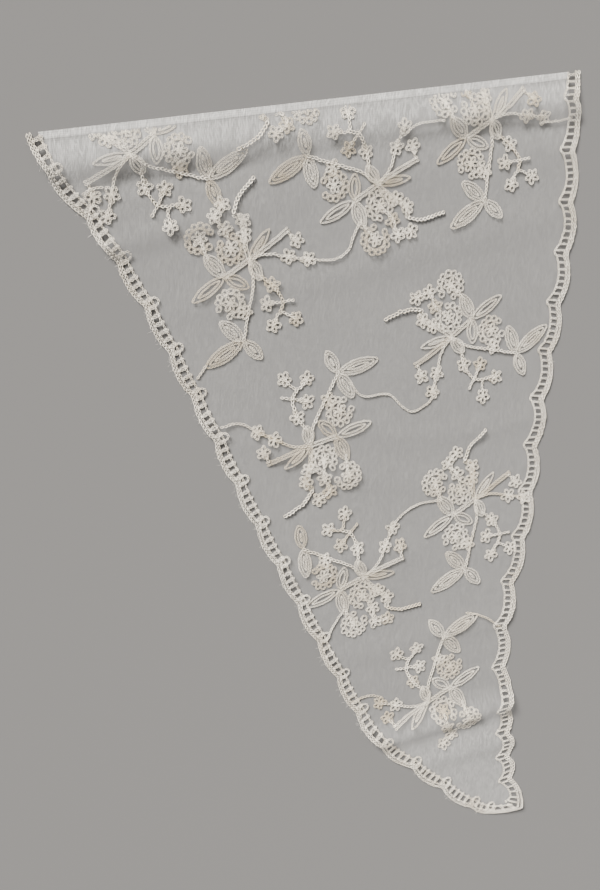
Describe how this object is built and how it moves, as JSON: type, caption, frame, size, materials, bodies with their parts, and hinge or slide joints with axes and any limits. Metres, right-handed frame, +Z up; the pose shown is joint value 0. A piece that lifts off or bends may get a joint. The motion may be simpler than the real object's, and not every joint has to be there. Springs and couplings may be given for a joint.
{
  "type": "lace head scarf",
  "caption": "Long tapering head scarf of sheer net with raised cord-stitched flower sprays and a scalloped ladder edging, laid out flat with soft folds.",
  "frame": {"origin": "middle of the laid-out scarf's footprint, on the surface it lies on", "axes": "+Z up out of the surface, +Y from the point towards the hemmed end, +X across to the straighter edge"},
  "size_m": [0.4542, 0.6276, 0.0105],
  "materials": {
    "sheer_net": "very sheer ivory net with fine combed streaks, matt",
    "edging_cord": "ivory cord in chain stitch and ladder rungs, matt",
    "spray_cord": "ivory cord in raised chain stitch, matt"
  },
  "bodies": {
    "root": {"ground_cloth": "sheer_net", "scallop_edging": "edging_cord", "spray_fold_left": "spray_cord", "spray_fold_mid": "spray_cord", "spray_fold_mid_piece_1": "spray_cord", "spray_fold_mid_piece_2": "spray_cord", "spray_upper_left": "spray_cord", "spray_upper_mid": "spray_cord", "spray_upper_right": "spray_cord", "spray_middle_right": "spray_cord", "spray_middle_left": "spray_cord", "spray_lower_left": "spray_cord", "spray_lower_right": "spray_cord", "spray_point": "spray_cord"}
  },
  "joints": []
}
